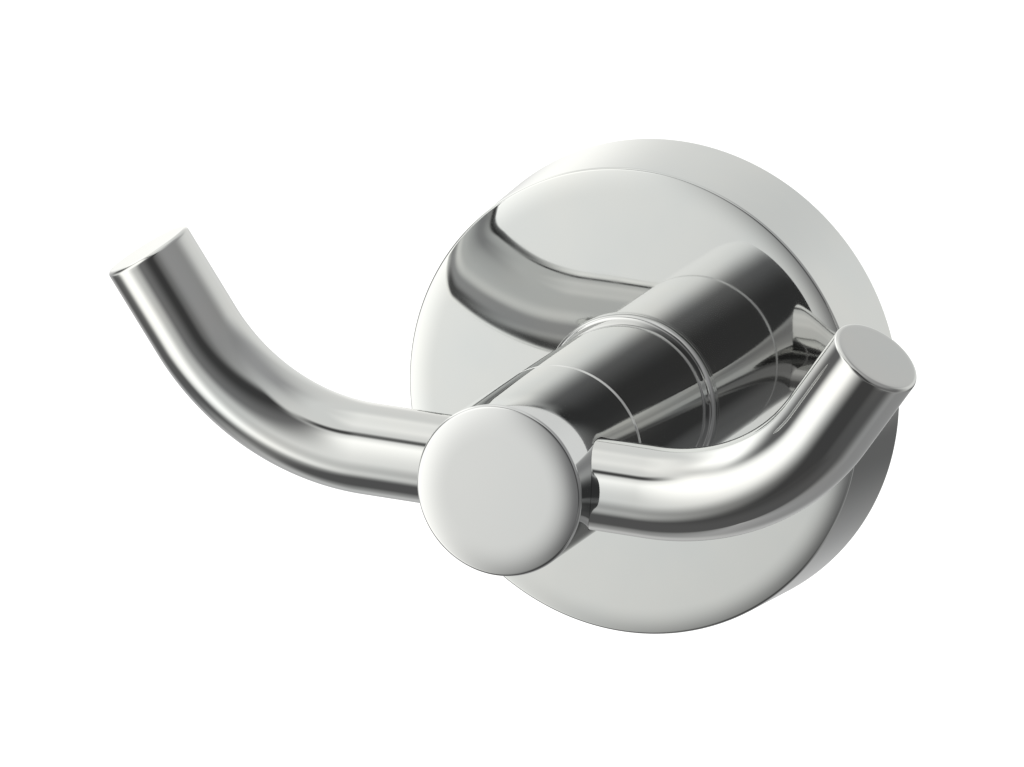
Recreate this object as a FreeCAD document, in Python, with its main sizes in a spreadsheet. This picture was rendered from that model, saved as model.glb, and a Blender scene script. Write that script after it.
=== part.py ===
import FreeCAD, Part
import enum
import math
import os

import Sketcher
from FreeCAD import Placement, Rotation, Vector

# Double robe hook on a round rose, in millimetres.
# The origin is the middle of the rose's back, on the wall. +Z is up and -Y comes out of the wall.
# Stations are distances from the wall, measured along the post's axis.

SIZES = {
    # rose: a cast cup with a flat mirror face that rolls off softly towards its rim
    "rose_depth": 11.7,
    "rose_radius": 27.5,
    "rose_draft": 0.8,
    "rose_rim_width": 2.4,
    "rose_rim_drop": 0.16,
    "rose_rim_edge": 0.3,
    "rose_front_wall": 2.8,
    "rose_side_wall": 2.9,
    "rose_cavity_fillet": 1.5,
    # ring round the foot of the post
    "ring_lip": 0.8,
    "ring_thickness": 1.0,
    "ring_round": 0.6,
    # post: bored through for the tie screw, with a spigot at each end
    "post_radius": 9.5,
    "post_length": 20.4,
    "foot_shoulder": 2.5,
    "neck_shoulder": 3.5,
    "neck_spigot_reach": 2.0,
    "seam_bevel": 0.25,
    # head: flush with the post, with a face that rolls off softly, and carries both arms
    "head_behind_arms": 10.0,
    "head_before_arms": 8.2,
    "head_rim_width": 2.9,
    "head_rim_drop": 0.25,
    "head_rim_edge": 0.4,
    "head_relief": 0.5,
    # arms: bent from round bar
    "arm_radius": 5.0,
    "arm_seat": 5.5,
    "arm_bend_radius": 23.8,
    "arm_bend_angle": 57.4,
    "arm_lean": 8.7,
    "left_arm_straight": 18.4,
    "right_arm_straight": 14.5,
    "arm_tip_length": 10.5,
    "arm_tip_round": 0.5,
    "arm_root_bevel": 0.4,
    # tie screw and its washers, behind the rose's face
    "tie_radius": 3.0,
    "tie_bite": 5.2,
    "tie_runout": 1.8,
    "tie_lead": 0.7,
    "tie_head_radius": 5.7,
    "tie_head_height": 4.0,
    "tie_head_chamfer": 0.6,
    "plain_washer_radius": 9.0,
    "plain_washer_thickness": 1.5,
    "spring_washer_radius": 5.9,
    "spring_washer_thickness": 1.6,
    "spring_washer_slit": 0.8,
    # wall bracket: a pressed cup with two screw slots
    "bracket_plate": 2.0,
    "bracket_bend": 0.6,
    "bracket_headroom": 1.4,
    "bracket_hole_radius": 8.0,
    "slot_web": 3.0,
    "slot_length": 9.0,
    "slot_radius": 2.4,
    # grub screw under the rose
    "grub_radius": 2.0,
    "grub_length": 4.0,
    "grub_point": 0.8,
    "grub_bite": 1.5,
    "grub_below_rim": 2.7,
    "grub_socket_radius": 1.15,
    "grub_socket_depth": 1.8,
    # clearances
    "slide": 0.3,
    "fit": 0.05,
}

# stations and radii that several pieces share, as sums of sizes
CAVITY_END = "rose_depth - rose_front_wall"
CAVITY_RADIUS = "rose_radius - rose_side_wall"
FRONT_RADIUS = "rose_radius - rose_draft"
RING_FRONT = "rose_depth + ring_thickness"
SEAM = RING_FRONT + " + post_length"
ARM_AXIS = SEAM + " + head_behind_arms"
FRONT = ARM_AXIS + " + head_before_arms"
NECK_END = SEAM + " + neck_spigot_reach"
TIE_TIP = NECK_END + " + head_relief + tie_bite"
PLAIN_WASHER_BACK = CAVITY_END + " - plain_washer_thickness"
SPRING_WASHER_BACK = PLAIN_WASHER_BACK + " - spring_washer_thickness"
BRACKET_RADIUS = CAVITY_RADIUS + " - slide"
BRACKET_RIM = CAVITY_END + " - bracket_headroom"
GRUB_STATION = BRACKET_RIM + " - grub_below_rim"
GRUB_TIP_RADIUS = BRACKET_RADIUS + " - grub_bite"
FOOT_SPIGOT_RADIUS = "post_radius - foot_shoulder"
NECK_SPIGOT_RADIUS = "post_radius - neck_shoulder"

# turned pieces are drawn with their stations along +Y and then face out of the wall
OUT_OF_WALL = Placement(Vector(0, 0, 0), Rotation(Vector(0, 0, 1), 180))
# turns a primitive's own axis out of the wall
OUTWARD = Rotation(Vector(1, 0, 0), 90)
UPRIGHT = Rotation()
TOLERANCE = 0.001


class Point(enum.IntEnum):
    """Which point of a line or an arc a constraint holds."""
    START = 1
    END = 2
    CENTRE = 3


class Axis(enum.IntEnum):
    """A sketch's own axes. Each starts at the origin."""
    HORIZONTAL = -1
    VERTICAL = -2


doc = FreeCAD.newDocument("RobeHook")
sheet = doc.addObject("Spreadsheet::Sheet", "sizes")
for row, (alias, value) in enumerate(SIZES.items(), start=1):
    sheet.set("A%d" % row, alias)
    sheet.set("B%d" % row, str(value))
    sheet.setAlias("B%d" % row, alias)
doc.recompute()


def minus(text):
    """A sum of sizes with every sign turned."""
    turned_words = {"+": "-", "-": "+"}
    return "- " + " ".join(turned_words.get(word, word) for word in text.split())


def amount(text):
    """The value of a sum of sizes, such as 'rose_depth - rose_front_wall'."""
    total = 0.0
    sign = 1
    for word in text.split():
        if word in ("+", "-"):
            sign = 1 if word == "+" else -1
        else:
            total += sign * float(SIZES[word] if word in SIZES else word)
    return total


def formula(text):
    """The same sum, as an expression on the sheet."""
    return " ".join("sizes." + word if word in SIZES else word for word in text.split())


def bind(thing, prop, text):
    thing.setExpression(prop, formula(text))


def fix(sketch, constraint, name, expression):
    """Adds a constraint and ties its value to the sheet."""
    sketch.renameConstraint(sketch.addConstraint(constraint), name)
    sketch.setExpression("Constraints." + name, expression)


def new_body(label):
    body = doc.addObject("PartDesign::Body", label)
    body.Label = label
    return body


def origin_plane(body, role):
    return next(item for item in body.Origin.OriginFeatures if item.Role == role)


def plane_sketch(body, role, name, offset=None):
    """A sketch on one of the body's own origin planes, moved along its normal by a sum of sizes."""
    sketch = body.newObject("Sketcher::SketchObject", name)
    sketch.AttachmentSupport = [(origin_plane(body, role), "")]
    sketch.MapMode = "FlatFace"
    if offset:
        bind(sketch, "AttachmentOffset.Base.z", offset)
    return sketch


def place_point(sketch, item, end, across, up, name):
    """Fixes a point's two coordinates, each a sum of sizes."""
    for kind, text, axis in (("DistanceX", across, Axis.VERTICAL), ("DistanceY", up, Axis.HORIZONTAL)):
        if text == "0":
            sketch.addConstraint(Sketcher.Constraint("PointOnObject", item, end, axis))
        else:
            distance = Sketcher.Constraint(kind, Axis.HORIZONTAL, Point.START, item, end, amount(text))
            fix(sketch, distance, name + "_" + kind, formula(text))


def circle(sketch, across, up, radius):
    middle = Vector(amount(across), amount(up), 0)
    item = sketch.addGeometry(Part.Circle(middle, Vector(0, 0, 1), amount(radius)), False)
    place_point(sketch, item, Point.CENTRE, across, up, "middle")
    fix(sketch, Sketcher.Constraint("Radius", item, amount(radius)), "radius", formula(radius))


def arc_into(start, end, after):
    """The arc from start to end that runs smoothly into the line from end to after."""
    chord = end - start
    ahead = after - end
    turn = chord.getAngle(ahead)
    bulge = chord.cross(chord.cross(ahead)).normalize() * (chord.Length / 2 * math.tan(turn / 2))
    return Part.Arc(start, (start + end) / 2 + bulge, end)


def outline(sketch, corners):
    """A closed outline. A corner is (across, up), or (across, up, "roll") at the end of a rolled edge."""
    points = [Vector(amount(corner[0]), amount(corner[1]), 0) for corner in corners]
    count = len(corners)
    edges = []
    for index, corner in enumerate(corners):
        start, end, after = points[index - 1], points[index], points[(index + 1) % count]
        rolled = len(corner) == 3
        curve = arc_into(start, end, after) if rolled else Part.LineSegment(start, end)
        item = sketch.addGeometry(curve, False)
        turns_left = (end - start).cross(after - end).z > 0
        ends = (Point.END, Point.START) if rolled and not turns_left else (Point.START, Point.END)
        edges.append((item, ends, rolled))
    for index, (item, ends, rolled) in enumerate(edges):
        following, following_ends, _ = edges[(index + 1) % count]
        kind = "Tangent" if rolled else "Coincident"
        sketch.addConstraint(Sketcher.Constraint(kind, item, ends[1], following, following_ends[0]))
        place_point(sketch, item, ends[1], corners[index][0], corners[index][1], "corner%d" % index)


def turned(label, corners):
    """A body turned about the post's axis. Its corners are (station, radius), as on a lathe drawing."""
    body = new_body(label)
    sketch = plane_sketch(body, "YZ_Plane", label + "_profile")
    outline(sketch, corners)
    revolution = body.newObject("PartDesign::Revolution", label + "_turning")
    revolution.Profile = sketch
    revolution.ReferenceAxis = (sketch, ["H_Axis"])
    revolution.Angle = 360
    body.Placement = OUT_OF_WALL
    doc.recompute()
    return body


def soften(body, name, edges, size, kind="PartDesign::Fillet", prop="Radius"):
    """Rounds or bevels some edges of the body's last feature."""
    if not edges:
        raise RuntimeError(name + " finds no edge")
    feature = body.newObject(kind, name)
    feature.Base = (feature.BaseFeature or body.Tip, edges)
    bind(feature, prop, size)
    doc.recompute()
    return feature


def turned_edge(body, station, radius):
    """Names of the body's circular edges at a station and a radius."""
    return [
        "Edge%d" % number for number, edge in enumerate(body.Tip.Shape.Edges, start=1)
        if isinstance(edge.Curve, Part.Circle)
        and abs(edge.Curve.Radius - amount(radius)) < TOLERANCE
        and abs(edge.Curve.Center.y - amount(station)) < TOLERANCE
    ]


def pocket(body, sketch, name, depth, along_normal=False):
    """Cuts a sketch out of the body."""
    doc.recompute()
    before = body.Shape.Volume
    cut = body.newObject("PartDesign::Pocket", name)
    cut.Profile = sketch
    cut.Reversed = along_normal
    bind(cut, "Length", depth)
    doc.recompute()
    if body.Shape.Volume >= before - TOLERANCE:
        raise RuntimeError(name + " cuts nothing")
    return cut


def rose():
    body = turned("rose", [
        ("0", CAVITY_RADIUS),
        ("0", "rose_radius"),
        ("rose_depth - rose_rim_drop", FRONT_RADIUS),
        ("rose_depth", FRONT_RADIUS + " - rose_rim_width", "roll"),
        ("rose_depth", FOOT_SPIGOT_RADIUS + " + fit"),
        (CAVITY_END, FOOT_SPIGOT_RADIUS + " + fit"),
        (CAVITY_END, CAVITY_RADIUS),
    ])
    rim = turned_edge(body, "rose_depth - rose_rim_drop", FRONT_RADIUS)
    soften(body, "rose_rim_edge", rim, "rose_rim_edge")
    corner = turned_edge(body, CAVITY_END, CAVITY_RADIUS)
    soften(body, "rose_cavity_corner", corner, "rose_cavity_fillet")
    hole = plane_sketch(body, "XY_Plane", "rose_grub_hole")
    circle(hole, "0", GRUB_STATION, "grub_radius + fit")
    pocket(body, hole, "rose_grub_bore", "rose_radius + slide")


def foot_ring():
    body = turned("foot_ring", [
        ("rose_depth", FOOT_SPIGOT_RADIUS + " + fit"),
        ("rose_depth", "post_radius + ring_lip"),
        (RING_FRONT, "post_radius + ring_lip"),
        (RING_FRONT, FOOT_SPIGOT_RADIUS + " + fit"),
    ])
    soften(body, "ring_round", turned_edge(body, RING_FRONT, "post_radius + ring_lip"), "ring_round")


def post():
    turned("post", [
        (CAVITY_END + " + slide", "tie_radius + slide"),
        (CAVITY_END + " + slide", FOOT_SPIGOT_RADIUS),
        (RING_FRONT, FOOT_SPIGOT_RADIUS),
        (RING_FRONT, "post_radius"),
        (SEAM + " - seam_bevel", "post_radius"),
        (SEAM, "post_radius - seam_bevel"),
        (SEAM, NECK_SPIGOT_RADIUS),
        (NECK_END, NECK_SPIGOT_RADIUS),
        (NECK_END, "tie_radius + slide"),
    ])


def head():
    """A turned head with a socket for the post's neck, a tapped hole and a blind side bore for each arm."""
    body = turned("head", [
        (SEAM, NECK_SPIGOT_RADIUS + " + fit"),
        (SEAM, "post_radius - seam_bevel"),
        (SEAM + " + seam_bevel", "post_radius"),
        (FRONT + " - head_rim_drop", "post_radius"),
        (FRONT, "post_radius - head_rim_width", "roll"),
        (FRONT, "0"),
        (TIE_TIP + " + tie_runout", "0"),
        (TIE_TIP + " + tie_runout", "tie_radius + fit"),
        (NECK_END + " + head_relief", "tie_radius + fit"),
        (NECK_END + " + head_relief", NECK_SPIGOT_RADIUS + " + fit"),
    ])
    rim = turned_edge(body, FRONT + " - head_rim_drop", "post_radius")
    soften(body, "head_rim_edge", rim, "head_rim_edge")
    sketch = plane_sketch(body, "YZ_Plane", "head_arm_bore", "arm_seat")
    circle(sketch, ARM_AXIS, "0", "arm_radius + fit")
    bore = pocket(body, sketch, "head_arm_seat", "post_radius", along_normal=True)
    other = body.newObject("PartDesign::Mirrored", "head_other_seat")
    other.Originals = [bore]
    other.MirrorPlane = (origin_plane(body, "YZ_Plane"), [""])
    body.Tip = other
    doc.recompute()


def arm(label, straight, turn):
    """A round bar that leaves the head sideways, bends up and ends in a flat tip."""
    body = new_body(label)
    radius, angle = SIZES["arm_bend_radius"], math.radians(SIZES["arm_bend_angle"])
    seat = Vector(SIZES["arm_seat"], 0, 0)
    bend_start = Vector(SIZES[straight], 0, 0)
    centre = bend_start + Vector(0, radius, 0)
    halfway = centre + Vector(math.sin(angle / 2), -math.cos(angle / 2), 0) * radius
    bend_end = centre + Vector(math.sin(angle), -math.cos(angle), 0) * radius
    tip = bend_end + Vector(math.cos(angle), math.sin(angle), 0) * SIZES["arm_tip_length"]

    route = plane_sketch(body, "XZ_Plane", label + "_route")
    run = route.addGeometry(Part.LineSegment(seat, bend_start), False)
    bend = route.addGeometry(Part.Arc(bend_start, halfway, bend_end), False)
    end = route.addGeometry(Part.LineSegment(bend_end, tip), False)
    place_point(route, run, Point.START, "arm_seat", "0", "seat")
    place_point(route, run, Point.END, straight, "0", "straight")
    route.addConstraint(Sketcher.Constraint("Tangent", run, Point.END, bend, Point.START))
    route.addConstraint(Sketcher.Constraint("Tangent", bend, Point.END, end, Point.START))
    for size, constraint in (
        ("arm_bend_radius", Sketcher.Constraint("Radius", bend, radius)),
        ("arm_bend_angle", Sketcher.Constraint("Angle", run, Point.START, end, Point.START, angle)),
        ("arm_tip_length", Sketcher.Constraint("Distance", end, SIZES["arm_tip_length"])),
    ):
        fix(route, constraint, size, formula(size))
    section = plane_sketch(body, "YZ_Plane", label + "_section", "arm_seat")
    circle(section, "0", "0", "arm_radius")
    bar = body.newObject("PartDesign::AdditivePipe", label + "_bar")
    bar.Profile = section
    bar.Spine = route
    doc.recompute()
    soften(body, label + "_tip", end_edge(body, Vector(tip.x, 0, tip.y)), "arm_tip_round")
    soften(body, label + "_root", end_edge(body, seat), "arm_root_bevel", "PartDesign::Chamfer", "Size")
    lean = Rotation(Vector(1, 0, 0), SIZES["arm_lean"])
    turned_round = Rotation(Vector(0, 0, 1), turn)
    body.Placement = Placement(Vector(0, -amount(ARM_AXIS), 0), lean * turned_round)
    doc.recompute()


def end_edge(body, middle):
    """The name of the closed edge round a flat end of a bar."""
    return [
        "Edge%d" % number for number, edge in enumerate(body.Tip.Shape.Edges, start=1)
        if edge.Closed and (edge.CenterOfMass - middle).Length < TOLERANCE
    ]


def primitive(kind, name, sizes, base, rotation):
    """A primitive with its sizes and its place, (across, station, up), tied to the sheet."""
    thing = doc.addObject(kind, name)
    for prop, text in sizes.items():
        bind(thing, prop, text)
    across, station, up = base
    thing.Placement = Placement(Vector(amount(across), -amount(station), amount(up)), rotation)
    bind(thing, "Placement.Base.x", across)
    bind(thing, "Placement.Base.y", minus(station))
    bind(thing, "Placement.Base.z", up)
    return thing


def combined(kind, label, first, second):
    """A cut, fuse or common of two things."""
    result = doc.addObject(kind, label)
    result.Base = first
    result.Tool = second
    result.Label = label
    doc.recompute()
    return result


def washer(label, outer, thickness, station):
    """A flat ring round the tie screw."""
    place = ("0", station, "0")
    disc = primitive("Part::Cylinder", label + "_disc", {
        "Radius": outer,
        "Height": thickness,
    }, place, OUTWARD)
    hole = primitive("Part::Cylinder", label + "_hole", {
        "Radius": "tie_radius + slide",
        "Height": thickness,
    }, place, OUTWARD)
    return combined("Part::Cut", label, disc, hole)


def spring_washer():
    ring = washer("spring_ring", "spring_washer_radius", "spring_washer_thickness", SPRING_WASHER_BACK)
    slit = primitive("Part::Box", "spring_slit", {
        "Length": "spring_washer_slit",
        "Width": "spring_washer_radius",
        "Height": "spring_washer_thickness",
    }, ("0", SPRING_WASHER_BACK, "0"), OUTWARD)
    combined("Part::Cut", "spring_washer", ring, slit)


def tie_screw():
    """A hexagon screw from behind the rose, through the post and into the head."""
    at_head = ("0", SPRING_WASHER_BACK + " - tie_head_height", "0")
    hexagon = primitive("Part::Prism", "tie_hexagon", {
        "Circumradius": "tie_head_radius",
        "Height": "tie_head_height",
    }, at_head, OUTWARD)
    crown = primitive("Part::Cone", "tie_crown", {
        "Radius1": "tie_head_radius - tie_head_chamfer",
        "Radius2": "tie_head_radius - tie_head_chamfer + tie_head_height",
        "Height": "tie_head_height",
    }, at_head, OUTWARD)
    crowned = combined("Part::Common", "tie_head", hexagon, crown)
    shank = primitive("Part::Cylinder", "tie_shank", {
        "Radius": "tie_radius",
        "Height": TIE_TIP + " - tie_lead " + minus(SPRING_WASHER_BACK),
    }, ("0", SPRING_WASHER_BACK, "0"), OUTWARD)
    lead = primitive("Part::Cone", "tie_end", {
        "Radius1": "tie_radius",
        "Radius2": "tie_radius - tie_lead",
        "Height": "tie_lead",
    }, ("0", TIE_TIP + " - tie_lead", "0"), OUTWARD)
    combined("Part::Fuse", "tie_screw", combined("Part::Fuse", "tie_bolt", crowned, shank), lead)


def wall_bracket():
    """A pressed cup that screws to the wall. The rose slides over its rim."""
    inner_radius = BRACKET_RADIUS + " - bracket_plate"
    body = turned("wall_bracket", [
        ("0", "bracket_hole_radius"),
        ("0", BRACKET_RADIUS),
        (BRACKET_RIM, BRACKET_RADIUS),
        (BRACKET_RIM, inner_radius),
        ("bracket_plate", inner_radius),
        ("bracket_plate", "bracket_hole_radius"),
    ])
    outer_corner = turned_edge(body, "0", BRACKET_RADIUS)
    soften(body, "bracket_outer_bend", outer_corner, "bracket_bend + bracket_plate")
    inner_corner = turned_edge(body, "bracket_plate", inner_radius)
    soften(body, "bracket_inner_bend", inner_corner, "bracket_bend")
    slots = plane_sketch(body, "XZ_Plane", "bracket_slots")
    level_slot(slots, "right", 1)
    level_slot(slots, "left", -1)
    pocket(body, slots, "bracket_slotting", "bracket_plate")
    hole = plane_sketch(body, "XY_Plane", "bracket_grub_hole")
    circle(hole, "0", GRUB_STATION, "grub_radius + slide")
    pocket(body, hole, "bracket_grub_bore", CAVITY_RADIUS)


def level_slot(sketch, name, side):
    """A level slot with round ends. A web stands between it and the bracket's middle hole."""
    near_text = "bracket_hole_radius + slot_web + slot_radius"
    far_text = "bracket_hole_radius + slot_web + slot_length - slot_radius"
    radius, near, far = SIZES["slot_radius"], side * amount(near_text), side * amount(far_text)
    top_near, top_far = Vector(near, radius, 0), Vector(far, radius, 0)
    foot_near, foot_far = Vector(near, -radius, 0), Vector(far, -radius, 0)
    reach = Vector(side * radius, 0, 0)
    near_tip, far_tip = Vector(near, 0, 0) - reach, Vector(far, 0, 0) + reach
    top = sketch.addGeometry(Part.LineSegment(top_far, top_near), False)
    near_end = sketch.addGeometry(Part.Arc(top_near, near_tip, foot_near), False)
    foot = sketch.addGeometry(Part.LineSegment(foot_near, foot_far), False)
    far_end = sketch.addGeometry(Part.Arc(foot_far, far_tip, top_far), False)
    first, last = (Point.START, Point.END) if side > 0 else (Point.END, Point.START)
    for constraint in (
        Sketcher.Constraint("Tangent", top, Point.END, near_end, first),
        Sketcher.Constraint("Tangent", near_end, last, foot, Point.START),
        Sketcher.Constraint("Tangent", foot, Point.END, far_end, first),
        Sketcher.Constraint("Tangent", far_end, last, top, Point.START),
        Sketcher.Constraint("Horizontal", top),
        Sketcher.Constraint("PointOnObject", near_end, Point.CENTRE, Axis.HORIZONTAL),
    ):
        sketch.addConstraint(constraint)
    fix(sketch, Sketcher.Constraint("Radius", near_end, radius), name + "_radius", formula("slot_radius"))
    for arc, place, text in ((near_end, near, near_text), (far_end, far, far_text)):
        sign = "+" if side > 0 else "-"
        distance = Sketcher.Constraint("DistanceX", Axis.HORIZONTAL, Point.START, arc, Point.CENTRE, place)
        fix(sketch, distance, "%s_%d" % (name, arc), "%s(%s)" % (sign, formula(text)))


def grub_screw():
    """A socket set screw in the rose's underside. Its point bites into the bracket's rim."""
    outer_end = minus(GRUB_TIP_RADIUS) + " - grub_length"
    foot = ("0", GRUB_STATION, outer_end)
    stem = primitive("Part::Cylinder", "grub_stem", {
        "Radius": "grub_radius",
        "Height": "grub_length - grub_point",
    }, foot, UPRIGHT)
    point = primitive("Part::Cone", "grub_cone", {
        "Radius1": "grub_radius",
        "Radius2": "grub_radius - grub_point",
        "Height": "grub_point",
    }, ("0", GRUB_STATION, outer_end + " + grub_length - grub_point"), UPRIGHT)
    socket = primitive("Part::Prism", "grub_socket", {
        "Circumradius": "grub_socket_radius",
        "Height": "grub_socket_depth",
    }, foot, UPRIGHT)
    combined("Part::Cut", "grub_screw", combined("Part::Fuse", "grub_blank", stem, point), socket)


rose()
foot_ring()
post()
head()
arm("left_arm", "left_arm_straight", 180)
arm("right_arm", "right_arm_straight", 0)
washer("plain_washer", "plain_washer_radius", "plain_washer_thickness", PLAIN_WASHER_BACK)
spring_washer()
tie_screw()
wall_bracket()
grub_screw()
doc.recompute()

PIECES = [
    "rose", "foot_ring", "post", "head", "left_arm", "right_arm",
    "tie_screw", "spring_washer", "plain_washer", "wall_bracket", "grub_screw",
]
for thing in doc.Objects:
    if "Invalid" in thing.State or "Error" in thing.State:
        raise RuntimeError(thing.Name + " failed: " + ", ".join(thing.State))
shapes = {label: doc.getObjectsByLabel(label)[0].Shape for label in PIECES}
for label, shape in shapes.items():
    if shape.isNull() or not shape.isValid() or len(shape.Solids) != 1:
        raise RuntimeError(label + " isn't one valid solid")

os.makedirs("parts", exist_ok=True)
for label, shape in shapes.items():
    shape.exportStep("parts/%s.step" % label)
    print("%-14s %8.1f cubic mm, %d faces" % (label, shape.Volume, len(shape.Faces)))
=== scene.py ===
import math

import bpy
import numpy as np
from mathutils import Matrix, Vector


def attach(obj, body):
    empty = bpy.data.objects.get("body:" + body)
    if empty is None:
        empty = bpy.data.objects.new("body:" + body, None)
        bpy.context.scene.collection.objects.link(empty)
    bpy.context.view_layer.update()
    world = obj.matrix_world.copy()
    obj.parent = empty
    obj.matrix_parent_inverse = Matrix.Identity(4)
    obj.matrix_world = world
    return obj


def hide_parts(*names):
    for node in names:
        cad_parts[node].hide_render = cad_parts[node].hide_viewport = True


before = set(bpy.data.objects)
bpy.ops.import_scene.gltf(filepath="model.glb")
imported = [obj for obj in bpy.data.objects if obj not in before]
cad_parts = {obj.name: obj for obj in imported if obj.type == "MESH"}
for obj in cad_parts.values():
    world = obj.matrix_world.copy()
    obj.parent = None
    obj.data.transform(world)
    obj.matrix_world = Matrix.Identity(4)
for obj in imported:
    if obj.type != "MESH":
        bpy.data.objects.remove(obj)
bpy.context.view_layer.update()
millimetre = 0.001
print("frame loaded:", len(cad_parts), "nodes")

rimSoftness = {"power": 2.6, "widening": 1.3, "searchPoints": 4001, "edgePoints": 13}
# A ring this small closes a turned end or a bar's end round its pole, in mm.
poleRadius = 0.02

# The wall is the plane y = 0 and the hook comes out of it along -Y.
# A turned piece is written as on a lathe drawing: (distance from the wall, radius, rounding), in mm.


def rolledRim(start, side, front, width, drop, edge, steps=40):
    # The face rolls off from its flat middle to the side, which runs from start to side. The roll falls by
    # drop times the power of the way across it, so that it leaves the flat without a crease. The broken
    # edge is a circle that touches the roll and the side line, found where the roll, moved inward by its
    # radius, is that far from the side line.
    start, side = np.array(start, float), np.array(side, float)
    across = np.linspace(0, 1, rimSoftness["searchPoints"])
    reach = width * rimSoftness["widening"]
    fall = drop * across ** rimSoftness["power"]
    slope = drop * rimSoftness["power"] * across ** (rimSoftness["power"] - 1) / reach
    roll = np.stack([front - fall, side[1] - reach + reach * across], -1)
    normal = np.stack([-np.ones_like(slope), -slope], -1) / np.hypot(1, slope)[:, None]
    centres = roll + edge * normal
    along = (side - start) / np.linalg.norm(side - start)
    inward = np.array([along[1], -along[0]])
    gap = (centres - start) @ inward
    touch = int(np.argmin(np.abs(gap - edge)))
    first, last = math.atan2(-inward[1], -inward[0]), math.atan2(-normal[touch, 1], -normal[touch, 0])
    edgeAngles = np.linspace(first, last, rimSoftness["edgePoints"])[:, None]
    rest = roll[np.linspace(touch, 0, steps).astype(int)[1:]]
    return np.concatenate([centres[touch] + edge * np.hstack([np.cos(edgeAngles), np.sin(edgeAngles)]), rest])


def roundedProfile(corners, arcSteps=10, reach=0.6, closed=True):
    # Each corner with a rounding becomes an arc that touches both of its lines: centre on the bisector,
    # at rounding / sin(half the corner's angle). A corner may also be a whole curve of points.
    # The lines between get points closer together near their ends, so that a flat next to an arc
    # stays flat when it is shaded.
    isCurve = [isinstance(corner, np.ndarray) for corner in corners]
    firsts = [np.array(corner[0] if curve else corner[:2], float) for corner, curve in zip(corners, isCurve)]
    lasts = [np.array(corner[-1] if curve else corner[:2], float) for corner, curve in zip(corners, isCurve)]
    rounds = [corner[2] if len(corner) == 3 else 0.0 for corner in corners]
    stretches = []
    count = len(corners)
    for index in range(count):
        if isCurve[index]:
            stretches.append(corners[index])
            continue
        here, before, after = firsts[index], lasts[index - 1], firsts[(index + 1) % count]
        isEnd = not closed and index in (0, count - 1)
        if rounds[index] == 0 or isEnd:
            stretches.append(here[None])
            continue
        toBefore = (before - here) / np.linalg.norm(before - here)
        toAfter = (after - here) / np.linalg.norm(after - here)
        half = math.acos(float(np.clip(toBefore @ toAfter, -1, 1))) / 2
        bisector = (toBefore + toAfter) / np.linalg.norm(toBefore + toAfter)
        centre = here + bisector * rounds[index] / math.sin(half)
        start = here + toBefore * rounds[index] / math.tan(half) - centre
        end = here + toAfter * rounds[index] / math.tan(half) - centre
        turn = math.atan2(start[0] * end[1] - start[1] * end[0], start @ end)
        angles = np.linspace(0, turn, arcSteps + 1)[:, None]
        across = np.array([-start[1], start[0]])
        stretches.append(centre + np.cos(angles) * start + np.sin(angles) * across)
    outline = [stretches[0]]
    for index in range(1, count + 1 if closed else count):
        start, end = stretches[index - 1][-1], stretches[index % count][0]
        length = np.linalg.norm(end - start)
        pieces = max(2, int(math.ceil(length / reach)))
        # smoothstep spacing: small at both ends of the line, wide in its middle
        t = np.linspace(0, 1, pieces + 1)[1:-1]
        t = t * t * (3 - 2 * t)
        outline.append(start + t[:, None] * (end - start))
        if index < count:
            outline.append(stretches[index])
    return np.concatenate(outline)


def gridMesh(name, points, closedAlong, closedAround, capStart=False, capEnd=False):
    # points is a grid (along, around, 3) in metres. Quads join each point to its neighbours,
    # and a cap joins the first or last ring to one point in its middle.
    along, around = points.shape[:2]
    rows = np.arange(along if closedAlong else along - 1)
    columns = np.arange(around if closedAround else around - 1)
    row, column = np.meshgrid(rows, columns, indexing="ij")
    nextRow, nextColumn = (row + 1) % along, (column + 1) % around
    quads = np.stack([row * around + column, row * around + nextColumn,
                      nextRow * around + nextColumn, nextRow * around + column], -1).reshape(-1, 4)
    vertices = [points.reshape(-1, 3)]
    triangles = []
    this = np.arange(around)
    following = (this + 1) % around
    if capStart:
        triangles.append(np.stack([following, this, np.full(around, along * around)], -1))
        vertices.append(points[0].mean(0)[None])
    if capEnd:
        last = (along - 1) * around
        pole = np.full(around, along * around + len(vertices) - 1)
        triangles.append(np.stack([last + this, last + following, pole], -1))
        vertices.append(points[-1].mean(0)[None])
    vertices = np.concatenate(vertices)
    mesh = bpy.data.meshes.new(name)
    faces = quads.tolist() + [face for part in triangles for face in part.tolist()]
    mesh.from_pydata(vertices.tolist(), [], faces)
    mesh.validate()
    return mesh


def addPiece(name, mesh, node, material, sharpAngle=35):
    # a piece stands for the CAD node of the same place and rides with it
    mesh.polygons.foreach_set("use_smooth", np.ones(len(mesh.polygons), bool))
    mesh.set_sharp_from_angle(angle=math.radians(sharpAngle))
    mesh.materials.append(material)
    mesh.update()
    piece = bpy.data.objects.new(name, mesh)
    bpy.context.scene.collection.objects.link(piece)
    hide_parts(node)
    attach(piece, "root")
    return piece


def turnedMesh(name, profile, around, closed=True, capStart=False, capEnd=False):
    # Turning: the point (station, radius) at angle a is (radius cos a, -station, radius sin a).
    angles = np.linspace(0, 2 * math.pi, around, endpoint=False)
    station, radius = profile[:, 0, None], profile[:, 1, None]
    grid = np.stack([radius * np.cos(angles), -station + 0 * angles, radius * np.sin(angles)], -1)
    return gridMesh(name, grid * millimetre, closed, True, capStart, capEnd)


cutterShape = {"segments": 144, "overshoot": 1.0}


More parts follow.
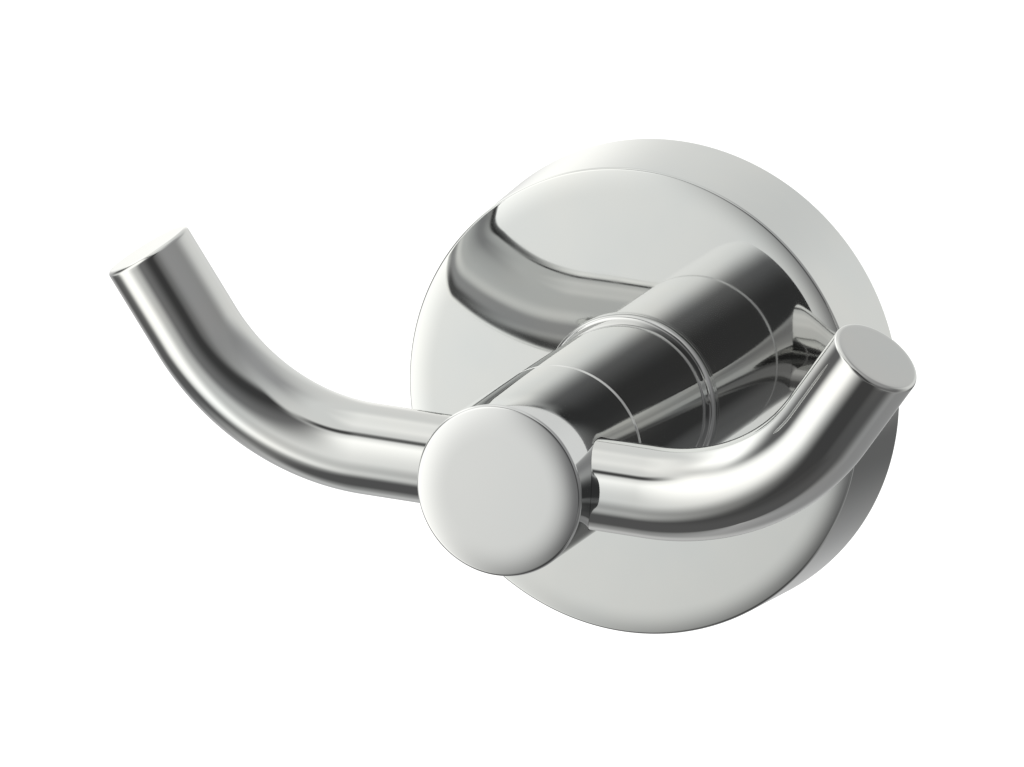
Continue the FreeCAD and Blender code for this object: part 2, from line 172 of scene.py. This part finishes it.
def drilled(name, mesh, holes):
    # holes: (middle of the mouth, direction inward, radius, depth), in mm. Each is cut by a boolean with a
    # round cutter that starts the overshoot outside the mouth.
    blank = bpy.data.objects.new(name + "_blank", mesh)
    bpy.context.scene.collection.objects.link(blank)
    cutters = []
    for mouth, inward, radius, depth in holes:
        axis = Vector(inward).normalized()
        side = axis.orthogonal().normalized()
        other = axis.cross(side)
        angles = np.linspace(0, 2 * math.pi, cutterShape["segments"], endpoint=False)[None, :, None]
        ends = np.array([-cutterShape["overshoot"], depth])[:, None, None]
        grid = np.array(mouth) + ends * np.array(axis) + radius * (
            np.cos(angles) * np.array(side) + np.sin(angles) * np.array(other))
        cutterMesh = gridMesh(name + "_cutter", grid * millimetre, False, True, capStart=True, capEnd=True)
        cutter = bpy.data.objects.new(name + "_cutter", cutterMesh)
        bpy.context.scene.collection.objects.link(cutter)
        cut = blank.modifiers.new("cut", "BOOLEAN")
        cut.object, cut.operation, cut.solver = cutter, "DIFFERENCE", "EXACT"
        cutters.append(cutter)
    bpy.context.view_layer.update()
    result = bpy.data.meshes.new_from_object(blank.evaluated_get(bpy.context.evaluated_depsgraph_get()))
    result.name = name
    for thing in [blank] + cutters:
        bpy.data.objects.remove(thing)
    return result


# Materials


def linear(hexCode):
    # sRGB hex to the linear colour that a shader takes
    values = [int(hexCode[i:i + 2], 16) / 255 for i in (1, 3, 5)]
    return [v / 12.92 if v <= 0.04045 else ((v + 0.055) / 1.055) ** 2.4 for v in values] + [1.0]


def addNode(tree, kind, settings=None, inputs=None):
    # adds one node: settings are its own properties, inputs are values or sockets to link from
    node = tree.nodes.new(kind)
    for key, value in (settings or {}).items():
        setattr(node, key, value)
    for key, value in (inputs or {}).items():
        if isinstance(value, bpy.types.NodeSocket):
            tree.links.new(value, node.inputs[key])
        else:
            node.inputs[key].default_value = value
    return node


def newMaterial(name):
    material = bpy.data.materials.new(name)
    material.use_nodes = True
    tree = material.node_tree
    tree.nodes.clear()
    shader = addNode(tree, "ShaderNodeBsdfPrincipled")
    addNode(tree, "ShaderNodeOutputMaterial", None, {"Surface": shader.outputs["BSDF"]})
    coordinates = addNode(tree, "ShaderNodeTexCoord").outputs["Object"]
    return material, tree, shader, coordinates


def noise(tree, coordinates, size, detail=2.0, stretch=(1, 1, 1)):
    # cloudy pattern with spots of about that size in mm, drawn out along an axis by stretch
    scaled = addNode(tree, "ShaderNodeVectorMath", {"operation": "DIVIDE"}, {0: coordinates, 1: stretch})
    cloud = addNode(tree, "ShaderNodeTexNoise", None, {"Vector": scaled.outputs[0], "Detail": detail,
                                                       "Scale": 1 / (size * millimetre)})
    return cloud.outputs["Fac"]


def between(tree, value, low, high):
    # noise stays mostly within 0.3 and 0.7, which is spread over low to high
    spread = addNode(tree, "ShaderNodeMapRange", None,
                     {"Value": value, "From Min": 0.3, "From Max": 0.7, "To Min": low, "To Max": high})
    return spread.outputs["Result"]


def platedMetal(name, finish):
    # Two tones and two roughnesses in soft clouds, over a surface that waves by a few micrometres.
    material, tree, shader, coordinates = newMaterial(name)
    stretch = finish["stretch"]
    clouds = noise(tree, coordinates, finish["cloudSize"], 3.0, stretch)
    tones = addNode(tree, "ShaderNodeMix", {"data_type": "RGBA"},
                    {"Factor": between(tree, clouds, 0, 1), 6: linear(finish["tones"][0]),
                     7: linear(finish["tones"][1])})
    haze = noise(tree, coordinates, finish["hazeSize"], 4.0, stretch)
    waves = noise(tree, coordinates, finish["waveSize"], 1.0, stretch)
    bump = addNode(tree, "ShaderNodeBump", None,
                   {"Strength": 1.0, "Distance": finish["waveHeight"] * millimetre, "Height": waves})
    shader.inputs["Metallic"].default_value = 1.0
    tree.links.new(tones.outputs[2], shader.inputs["Base Color"])
    tree.links.new(between(tree, haze, *finish["roughness"]), shader.inputs["Roughness"])
    tree.links.new(bump.outputs["Normal"], shader.inputs["Normal"])
    return material


# Bright chrome over polished nickel. Zinc castings are buffed by hand, so the mirror wavers a little.
castChrome = platedMetal("castZincBrightChrome", {
    "tones": ("#CDCFCF", "#D3D3D1"), "cloudSize": 14, "roughness": (0.02, 0.045), "hazeSize": 3,
    "waveSize": 9, "waveHeight": 0.012, "stretch": (1, 1, 1)})
# Turned brass is polished on the lathe: the mirror is truer, with haze in rings round the axis.
turnedChrome = platedMetal("turnedBrassBrightChrome", {
    "tones": ("#CFD0D1", "#D2D2D1"), "cloudSize": 8, "roughness": (0.015, 0.035), "hazeSize": 1.5,
    "waveSize": 5, "waveHeight": 0.002, "stretch": (6, 1, 6)})
# Bent bar is belt polished along its length, which softens the edges of what it mirrors.
barChrome = platedMetal("bentBrassBarBrightChrome", {
    "tones": ("#CED0D0", "#D3D2D0"), "cloudSize": 10, "roughness": (0.02, 0.045), "hazeSize": 2,
    "waveSize": 7, "waveHeight": 0.008, "stretch": (2, 1, 1)})
# Pressed sheet with bright zinc and a clear passivation: dull silver, with blue and straw patches.
zincSheet = platedMetal("pressedSteelBrightZinc", {
    "tones": ("#C3C7CB", "#CDCBC4"), "cloudSize": 6, "roughness": (0.24, 0.42), "hazeSize": 0.8,
    "waveSize": 2, "waveHeight": 0.01, "stretch": (1, 1, 1)})
# Turned and rolled steel with the same zinc: a little brighter, finer marks.
zincTurned = platedMetal("turnedSteelBrightZinc", {
    "tones": ("#C6C9CC", "#CFCDC7"), "cloudSize": 2.5, "roughness": (0.2, 0.34), "hazeSize": 0.4,
    "waveSize": 0.6, "waveHeight": 0.003, "stretch": (1, 1, 1)})
# Bare stainless bar: warm grey and satin from the cutting tool.
stainless = platedMetal("turnedStainlessSteel", {
    "tones": ("#A8A49D", "#B9B5AE"), "cloudSize": 1.2, "roughness": (0.22, 0.36), "hazeSize": 0.3,
    "waveSize": 0.4, "waveHeight": 0.002, "stretch": (1, 1, 1)})

hiddenHardware = {
    "wall_bracket": zincSheet,
    "spring_washer": zincTurned,
    "plain_washer": zincTurned,
}
for nodeName, material in hiddenHardware.items():
    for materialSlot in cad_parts[nodeName].material_slots:
        materialSlot.material = material
print("materials made")

# Rose: a cast cup with a flat mirror face, a softly rolled rim and a slight draft

rose = {
    "depth": 11.7,
    "backRadius": 27.5,
    "frontRadius": 26.7,
    "rimWidth": 2.4,
    "rimDrop": 0.16,
    "rimEdge": 0.3,
    "frontWall": 2.8,
    "cavityRadius": 24.6,
    "cavityCorner": 1.5,
    "boreRadius": 7.05,
    "grubStation": 4.8,
    "grubHoleRadius": 2.05,
    "grubHoleDepth": 5.0,
    "brokenEdge": 0.12,
    "segments": 384,
}
cavityEnd = rose["depth"] - rose["frontWall"]
profile = roundedProfile([
    (0, rose["cavityRadius"], rose["brokenEdge"]),
    (0, rose["backRadius"], rose["brokenEdge"]),
    rolledRim((0, rose["backRadius"]), (rose["depth"] - rose["rimDrop"], rose["frontRadius"]),
              rose["depth"], rose["rimWidth"], rose["rimDrop"], rose["rimEdge"]),
    (rose["depth"], rose["boreRadius"]),
    (cavityEnd, rose["boreRadius"]),
    (cavityEnd, rose["cavityRadius"], rose["cavityCorner"]),
])
grubMouth = (0, -rose["grubStation"], -rose["backRadius"])
grubHole = (grubMouth, (0, 0, 1), rose["grubHoleRadius"], rose["grubHoleDepth"])
roseMesh = drilled("rose_cup", turnedMesh("rose_cup", profile, rose["segments"]), [grubHole])
addPiece("rose_cup", roseMesh, "rose", castChrome)

# Foot ring: a thin turned ring round the foot of the post

footRing = {
    "back": rose["depth"],
    "thickness": 1.0,
    "radius": 10.3,
    "boreRadius": rose["boreRadius"],
    "round": 0.6,
    "brokenEdge": 0.08,
    "segments": 320,
}
ringFront = footRing["back"] + footRing["thickness"]
profile = roundedProfile([
    (footRing["back"], footRing["boreRadius"]),
    (footRing["back"], footRing["radius"], footRing["brokenEdge"]),
    (ringFront, footRing["radius"], footRing["round"]),
    (ringFront, footRing["boreRadius"]),
])
addPiece("foot_ring_turned", turnedMesh("foot_ring_turned", profile, footRing["segments"]),
         "foot_ring", turnedChrome)

# Post: a straight turned tube with a spigot at each end

post = {
    "radius": 9.5,
    "length": 20.4,
    "boreRadius": 3.3,
    "footSpigotRadius": 7.0,
    "footClearance": 0.3,
    "neckSpigotRadius": 6.0,
    "neckReach": 2.0,
    "seamBevel": 0.25,
    "seamRound": 0.12,
    "segments": 320,
}
seam = ringFront + post["length"]
profile = roundedProfile([
    (cavityEnd + post["footClearance"], post["boreRadius"]),
    (cavityEnd + post["footClearance"], post["footSpigotRadius"]),
    (ringFront, post["footSpigotRadius"]),
    (ringFront, post["radius"]),
    (seam - post["seamBevel"], post["radius"], post["seamRound"]),
    (seam, post["radius"] - post["seamBevel"]),
    (seam, post["neckSpigotRadius"]),
    (seam + post["neckReach"], post["neckSpigotRadius"]),
    (seam + post["neckReach"], post["boreRadius"]),
])
addPiece("post_tube", turnedMesh("post_tube", profile, post["segments"]),
         "post", turnedChrome)

# Head: turned flush with the post, with a softly rolled front face

head = {
    "radius": post["radius"],
    "behindArms": 10.0,
    "beforeArms": 8.2,
    "socketRadius": 6.05,
    "socketEnd": 2.5,
    "tappedRadius": 3.05,
    "tappedEnd": 9.5,
    "armSocketRadius": 5.05,
    "armSeat": 5.5,
    "rimWidth": 2.9,
    "rimDrop": 0.25,
    "rimEdge": 0.4,
    "segments": 384,
}
armAxis = seam + head["behindArms"]
front = armAxis + head["beforeArms"]
profile = roundedProfile([
    (seam + head["tappedEnd"], poleRadius),
    (seam + head["tappedEnd"], head["tappedRadius"]),
    (seam + head["socketEnd"], head["tappedRadius"]),
    (seam + head["socketEnd"], head["socketRadius"]),
    (seam, head["socketRadius"]),
    (seam, head["radius"] - post["seamBevel"]),
    (seam + post["seamBevel"], head["radius"], post["seamRound"]),
    rolledRim((seam, head["radius"]), (front - head["rimDrop"], head["radius"]),
              front, head["rimWidth"], head["rimDrop"], head["rimEdge"]),
    (front, poleRadius),
], closed=False)
headMesh = turnedMesh("head_turned", profile, head["segments"], closed=False, capStart=True, capEnd=True)
sockets = [((side * head["radius"], -armAxis, 0), (-side, 0, 0), head["armSocketRadius"],
            head["radius"] - head["armSeat"]) for side in (1, -1)]
addPiece("head_turned", drilled("head_turned", headMesh, sockets), "head", turnedChrome)

# Arms: round bar that leaves the head sideways, bends up and ends in a flat tip

arm = {
    "radius": 5.0,
    "seat": head["armSeat"],
    "bendRadius": 23.8,
    "bendAngle": 57.4,
    "lean": 8.7,
    "tipLength": 10.5,
    "tipRound": 0.5,
    "rootBevel": 0.4,
    "straight": {"left": 18.4, "right": 14.5},
    "step": 0.3,
    "tipRoundPoints": 13,
    "tipDiscRings": 12,
    "segments": 192,
}


def armMesh(name, side):
    # The bar's centre line is a straight run, an arc and a straight end, by the distance s along it.
    # Its section is a circle across that line, drawn in to a flat disc with a rounded edge at the tip.
    straight = arm["straight"][side]
    turn = math.radians(arm["bendAngle"])
    bendLength = arm["bendRadius"] * turn
    total = straight - arm["seat"] + bendLength + arm["tipLength"]
    wholeSteps = int(total / arm["step"])
    edge = arm["tipRound"]
    quarter = np.linspace(0, math.pi / 2, arm["tipRoundPoints"])
    disc = np.linspace(1, 0, arm["tipDiscRings"])[1:]
    s = np.concatenate([[0.0, 0.0], [arm["rootBevel"]],
                        np.linspace(arm["rootBevel"], total - edge, wholeSteps)[1:],
                        total - edge + edge * np.sin(quarter[1:]),
                        np.full(len(disc), total)])
    radius = np.concatenate([[poleRadius, arm["radius"] - arm["rootBevel"]], [arm["radius"]],
                             np.full(wholeSteps - 1, arm["radius"]),
                             arm["radius"] - edge + edge * np.cos(quarter[1:]),
                             (arm["radius"] - edge) * disc])
    radius = np.maximum(radius, poleRadius)
    run = straight - arm["seat"]
    angle = np.clip((s - run) / arm["bendRadius"], 0, turn)
    along = arm["seat"] + np.minimum(s, run) + arm["bendRadius"] * np.sin(angle)
    rise = arm["bendRadius"] * (1 - np.cos(angle))
    beyond = np.maximum(s - run - bendLength, 0)
    along = along + beyond * math.cos(turn)
    rise = rise + beyond * math.sin(turn)
    # across the line: one direction lies in the plane of the bend, the other points out of the wall
    around = np.linspace(0, 2 * math.pi, arm["segments"], endpoint=False)
    inPlane = radius[:, None] * np.cos(around)
    outward = radius[:, None] * np.sin(around)
    x = along[:, None] - np.sin(angle)[:, None] * inPlane
    z = rise[:, None] + np.cos(angle)[:, None] * inPlane
    y = -outward
    sign = 1 if side == "right" else -1
    lean = math.radians(arm["lean"])
    placed = np.stack([sign * x,
                       sign * y * math.cos(lean) - z * math.sin(lean) - armAxis,
                       sign * y * math.sin(lean) + z * math.cos(lean)], -1)
    return gridMesh(name, placed * millimetre, False, True, capStart=True, capEnd=True)


for side in ("left", "right"):
    name = side + "_arm_bar"
    addPiece(name, armMesh(name, side), side + "_arm", barChrome)
print("chrome pieces made")

# Screws: the radius of each is a function of the place along its axis and the angle round it


screw = {
    "segments": 96,
    "poleRadius": 0.05,
    "stepsPerPitch": 12,
    "threadDepth": 0.6134,
    "flankSpread": 1.3,
    "crestFlat": 0.15,
}


def hexagon(angles, corner):
    # radius to a hexagon's side, by the angle from the nearest side's middle
    return corner * math.cos(math.pi / 6) / np.cos((angles + math.pi / 6) % (math.pi / 3) - math.pi / 6)


def thread(place, angles, crest, pitch):
    # A ridge that climbs one pitch per turn: the distance from the crest, 0 to 1 over half a pitch, is
    # spread and cut off at both ends, so that crest and root are flat.
    ridge = np.abs(((place / pitch - angles / (2 * math.pi)) % 1) * 2 - 1)
    cut = np.clip(ridge * screw["flankSpread"] - screw["crestFlat"], 0, 1)
    return crest - screw["threadDepth"] * pitch * cut


def screwMesh(name, rows, toPlace):
    # rows: (place along the axis, radius at each angle), and toPlace turns them into x, y and z
    grid = np.stack([toPlace(place, radius * np.cos(screwAngles), radius * np.sin(screwAngles))
                     for place, radius in rows])
    return gridMesh(name, grid * millimetre, False, True, capStart=True, capEnd=True)


screwAngles = np.linspace(0, 2 * math.pi, screw["segments"], endpoint=False)
full = np.ones_like(screwAngles)
pole = screw["poleRadius"] * full
tieScrew = {
    "headBack": 1.8,
    "headHeight": 4.0,
    "headCorner": 5.7,
    "headChamfer": 0.6,
    "chamferRows": 9,
    "radius": 3.0,
    "pitch": 1.0,
    "threadStart": 24.0,
    "runIn": 0.01,
    "tip": 40.8,
    "lead": 0.7,
}
headFront = tieScrew["headBack"] + tieScrew["headHeight"]
crown = tieScrew["headBack"] + np.linspace(0, tieScrew["headChamfer"], tieScrew["chamferRows"])
rows = [(tieScrew["headBack"], pole)]
rows += [(place, np.minimum(hexagon(screwAngles, tieScrew["headCorner"]),
                            tieScrew["headCorner"] - tieScrew["headChamfer"] + place - tieScrew["headBack"]))
         for place in crown]
rows += [(headFront, hexagon(screwAngles, tieScrew["headCorner"])), (headFront, tieScrew["radius"] * full),
         (tieScrew["threadStart"] - tieScrew["runIn"], tieScrew["radius"] * full)]
for place in np.arange(tieScrew["threadStart"], tieScrew["tip"] - tieScrew["runIn"],
                       tieScrew["pitch"] / screw["stepsPerPitch"]):
    coneRadius = tieScrew["radius"] - tieScrew["lead"] + tieScrew["tip"] - place
    threadRadius = thread(place, screwAngles, tieScrew["radius"], tieScrew["pitch"])
    rows.append((place, np.minimum(threadRadius, coneRadius)))
rows += [(tieScrew["tip"], (tieScrew["radius"] - tieScrew["lead"]) * full), (tieScrew["tip"], pole)]
tieMesh = screwMesh("tie_screw_threaded", rows, lambda place, u, v: np.stack([u, 0 * u - place, v], -1))
addPiece("tie_screw_threaded", tieMesh, "tie_screw", zincTurned)

grub = {
    "station": rose["grubStation"],
    "mouth": -26.8,
    "length": 4.0,
    "radius": 2.0,
    "pitch": 0.7,
    "point": 0.8,
    "mouthRadius": 1.6,
    "runIn": 0.05,
    "socketCorner": 1.15,
    "socketDepth": 1.8,
}
socket = hexagon(screwAngles, grub["socketCorner"])
socketEnd = grub["mouth"] + grub["socketDepth"]
pointEnd = grub["mouth"] + grub["length"]
rows = [(socketEnd, pole), (socketEnd, socket), (grub["mouth"], socket),
        (grub["mouth"], grub["mouthRadius"] * full)]
for place in np.arange(grub["mouth"] + grub["runIn"], pointEnd, grub["pitch"] / screw["stepsPerPitch"]):
    coneRadius = grub["radius"] - grub["point"] + grub["mouth"] + grub["length"] - place
    lead = grub["mouthRadius"] + place - grub["mouth"]
    threadRadius = thread(place, screwAngles, grub["radius"], grub["pitch"])
    rows.append((place, np.minimum(threadRadius, min(coneRadius, lead))))
rows += [(pointEnd, (grub["radius"] - grub["point"]) * full), (pointEnd, pole)]
grubMesh = screwMesh("grub_screw_threaded", rows,
                     lambda place, u, v: np.stack([v, 0 * u - grub["station"] + u, 0 * u + place], -1))
addPiece("grub_screw_threaded", grubMesh, "grub_screw", stainless)
print("screws made")

# Studio: a pale floor well below the hook, and a round tent of light that only the metal mirrors

studio = {
    "floorDrop": 0.12,
    "floorSize": 6.0,
    "floorColour": "#F6F6F5",
    "surround": 1.0,
    "lampPower": 9.0,
    "lampSize": 0.6,
    "lampPlace": (-0.2, -0.3, 1.1),
    "paperRoughness": 0.9,
}
floorMesh = bpy.data.meshes.new("floor")
half = studio["floorSize"] / 2
level = -studio["floorDrop"]
corners = [(x * half, y * half, level) for x, y in ((-1, -1), (1, -1), (1, 1), (-1, 1))]
floorMesh.from_pydata(corners, [], [(0, 1, 2, 3)])
floor = bpy.data.objects.new("floor", floorMesh)
bpy.context.scene.collection.objects.link(floor)
floor.visible_glossy = False
paper, tree, shader, coordinates = newMaterial("paleStudioPaper")
shader.inputs["Base Color"].default_value = linear(studio["floorColour"])
shader.inputs["Roughness"].default_value = studio["paperRoughness"]
floorMesh.materials.append(paper)

world = bpy.data.worlds.new("studio")
bpy.context.scene.world = world
world.use_nodes = True
world.node_tree.nodes.clear()
surround = addNode(world.node_tree, "ShaderNodeBackground", None, {"Strength": studio["surround"]})
surround.inputs["Color"].default_value = (1, 1, 1, 1)
addNode(world.node_tree, "ShaderNodeOutputWorld", None, {"Surface": surround.outputs[0]})

lampData = bpy.data.lights.new("softLamp", "AREA")
lampData.shape = "DISK"
lampData.size = studio["lampSize"]
lampData.energy = studio["lampPower"]
lamp = bpy.data.objects.new("softLamp", lampData)
lamp.location = studio["lampPlace"]
lamp.rotation_euler = Vector(lamp.location).to_track_quat("Z", "Y").to_euler()
lamp.visible_glossy = False
bpy.context.scene.collection.objects.link(lamp)

# The tent is white cloth, and the cards on it are what a chrome object needs: soft boxes for its bright
# bands and black flags for its dark ones. A card's place is the azimuth and elevation of its middle seen
# from the tent's middle, in degrees: azimuth 0 is straight before the wall and 90 on the hook's right.
# Its half width and half height, its tilt and half the widths of its soft edges are in degrees too.
# A later card lies over the earlier ones.

tent = {
    "radius": 0.65,
    "centre": (0.0, -0.03, 0.0),
    "base": 0.95,
    "baseTint": "#FEFFFC",
    "columns": 128,
    "rows": 64,
}
warmWhite = "#FFFFFB"
neutral = "#FFFFFF"


def card(at, half, soft, level, tilt=0, tint=neutral):
    return {"at": at, "half": half, "soft": soft, "level": level, "tilt": tilt, "tint": tint}


cards = {
    "dimDome": card(at=(100, 55), half=(60, 25), soft=(50, 12), level=0.45),
    "rightWall": card(at=(70, -10), half=(45, 45), soft=(20, 25), level=0.2),
    "rightGlow": card(at=(65, 20), half=(25, 15), soft=(20, 15), level=0.4),
    "paleFloor": card(at=(170, -75), half=(70, 20), soft=(30, 12), level=0.5),
    "blackFloor": card(at=(-10, -90), half=(120, 39), soft=(40, 9), level=0.12),
    "backFloor": card(at=(150, -45), half=(40, 30), soft=(20, 20), level=0.35),
    "backBand": card(at=(162, -20), half=(25, 9), soft=(12, 8), level=0.16),
    "leftWall": card(at=(-140, -27), half=(40, 24), soft=(20, 14), level=0.55),
    "leftStrip": card(at=(-148, 5), half=(12, 12), soft=(10, 12), level=1.3, tint=warmWhite),
    "leftLow": card(at=(-92, -40), half=(30, 10), soft=(15, 8), level=0.14, tilt=-15),
    "leftBox": card(at=(-105, 30), half=(30, 14), soft=(15, 10), level=1.7, tilt=20, tint=warmWhite),
    "topBox": card(at=(-85, 62), half=(45, 10), soft=(15, 12), level=1.25, tint=warmWhite),
    "darkDoor": card(at=(-85, 5), half=(25, 14), soft=(18, 10), level=0.16, tilt=15),
    "keyBox": card(at=(-45, -3), half=(20, 40), soft=(12, 8), level=1.65, tilt=-15, tint=warmWhite),
    "hood": card(at=(-20, 43), half=(18, 4), soft=(12, 3), level=0.08),
    "greyFlag": card(at=(7, 4), half=(19, 34), soft=(9, 6), level=0.22),
    "lowFlag": card(at=(9, -45), half=(32, 19), soft=(20, 12), level=0.07),
    "blackFlag": card(at=(20, 12), half=(14, 32), soft=(12, 5), level=0.06, tilt=10),
}


def lightTent():
    # The colour at a point of the tent is found from the direction to it: azimuth by the arctangent of x
    # over -y, elevation by the arcsine of z. Each card is a soft rectangle in those two angles.
    material = bpy.data.materials.new("lightTent")
    material.use_nodes = True
    material.cycles.emission_sampling = "NONE"
    tree = material.node_tree
    tree.nodes.clear()
    coordinates = addNode(tree, "ShaderNodeTexCoord").outputs["Object"]
    direction = addNode(tree, "ShaderNodeVectorMath", {"operation": "NORMALIZE"}, {0: coordinates})
    parts = addNode(tree, "ShaderNodeSeparateXYZ", None, {0: direction.outputs[0]}).outputs
    before = addNode(tree, "ShaderNodeMath", {"operation": "MULTIPLY"}, {0: parts["Y"], 1: -1.0})
    bearing = addNode(tree, "ShaderNodeMath", {"operation": "ARCTAN2"}, {0: parts["X"], 1: before.outputs[0]})
    height = addNode(tree, "ShaderNodeMath", {"operation": "ARCSINE"}, {0: parts["Z"]})
    colour = [tent["base"] * channel for channel in linear(tent["baseTint"])[:3]] + [1.0]
    for lightCard in cards.values():
        azimuth, elevation = lightCard["at"]
        across = addNode(tree, "ShaderNodeMath", {"operation": "SUBTRACT"},
                         {0: bearing.outputs[0], 1: math.radians(azimuth)})
        wrapped = addNode(tree, "ShaderNodeMath", {"operation": "WRAP"},
                          {0: across.outputs[0], 1: math.pi, 2: -math.pi})
        upwards = addNode(tree, "ShaderNodeMath", {"operation": "SUBTRACT"},
                          {0: height.outputs[0], 1: math.radians(elevation)})
        offset = addNode(tree, "ShaderNodeCombineXYZ", None, {0: wrapped.outputs[0], 1: upwards.outputs[0]})
        turned = addNode(tree, "ShaderNodeVectorRotate", {"rotation_type": "Z_AXIS"},
                         {"Vector": offset.outputs[0], "Angle": -math.radians(lightCard["tilt"])})
        folded = addNode(tree, "ShaderNodeVectorMath", {"operation": "ABSOLUTE"}, {0: turned.outputs[0]})
        sides = addNode(tree, "ShaderNodeSeparateXYZ", None, {0: folded.outputs[0]})
        masks = [addNode(tree, "ShaderNodeMapRange", {"interpolation_type": "SMOOTHSTEP"},
                         {"Value": sides.outputs[index], "From Min": math.radians(reach - edge),
                          "From Max": math.radians(reach + edge), "To Min": 1.0, "To Max": 0.0}).outputs[0]
                 for index, reach, edge in zip((0, 1), lightCard["half"], lightCard["soft"])]
        mask = addNode(tree, "ShaderNodeMath", {"operation": "MULTIPLY"}, {0: masks[0], 1: masks[1]})
        light = [lightCard["level"] * channel for channel in linear(lightCard["tint"])[:3]] + [1.0]
        colour = addNode(tree, "ShaderNodeMix", {"data_type": "RGBA"},
                         {"Factor": mask.outputs[0], 6: colour, 7: light}).outputs[2]
    glow = addNode(tree, "ShaderNodeEmission", None, {"Color": colour, "Strength": 1.0})
    addNode(tree, "ShaderNodeOutputMaterial", None, {"Surface": glow.outputs[0]})
    # sphere as a grid: the row angle runs from pole to pole
    rowAngles = np.linspace(-math.pi / 2, math.pi / 2, tent["rows"] + 1)[1:-1, None]
    columnAngles = np.linspace(0, 2 * math.pi, tent["columns"], endpoint=False)
    grid = np.stack([np.cos(rowAngles) * np.cos(columnAngles), np.cos(rowAngles) * np.sin(columnAngles),
                     np.sin(rowAngles) + 0 * columnAngles], -1)
    mesh = gridMesh("lightTent", tent["radius"] * grid, False, True, capStart=True, capEnd=True)
    mesh.materials.append(material)
    ball = bpy.data.objects.new("lightTent", mesh)
    ball.location = tent["centre"]
    bpy.context.scene.collection.objects.link(ball)
    for flag in ("visible_camera", "visible_diffuse", "visible_transmission", "visible_volume_scatter",
                 "visible_shadow"):
        setattr(ball, flag, False)


lightTent()
print("studio made")

# Camera: on the hook's right and above it, for the photograph's frame of 1024 x 767. Its place, turn, roll
# and lens were solved from where the hook's edges lie in the photograph.

camera = {
    "azimuth": 21.205,
    "elevation": 15.828,
    "roll": 2.503,
    "distance": 0.97079,
    "hookRight": 0.01755,
    "hookDown": -0.00064,
    "lens": 303.92,
    "sensorWidth": 36,
    "clip": (0.05, 20),
}
azimuth, elevation, roll = (math.radians(camera[key]) for key in ("azimuth", "elevation", "roll"))
levelRight = Vector((math.cos(azimuth), math.sin(azimuth), 0))
backwards = Vector((math.sin(azimuth) * math.cos(elevation), -math.cos(azimuth) * math.cos(elevation),
                    math.sin(elevation)))
levelUp = backwards.cross(levelRight)
right = math.cos(roll) * levelRight + math.sin(roll) * levelUp
up = math.cos(roll) * levelUp - math.sin(roll) * levelRight
lens = bpy.data.cameras.new("camera")
lens.sensor_width = camera["sensorWidth"]
lens.lens = camera["lens"]
lens.clip_start, lens.clip_end = camera["clip"]
viewer = bpy.data.objects.new("camera", lens)
bpy.context.scene.collection.objects.link(viewer)
place = camera["distance"] * backwards - camera["hookRight"] * right + camera["hookDown"] * up
viewer.matrix_world = Matrix([[right[i], up[i], backwards[i], place[i]] for i in range(3)] + [[0, 0, 0, 1]])
bpy.context.scene.camera = viewer
bpy.context.scene.view_settings.view_transform = "Standard"
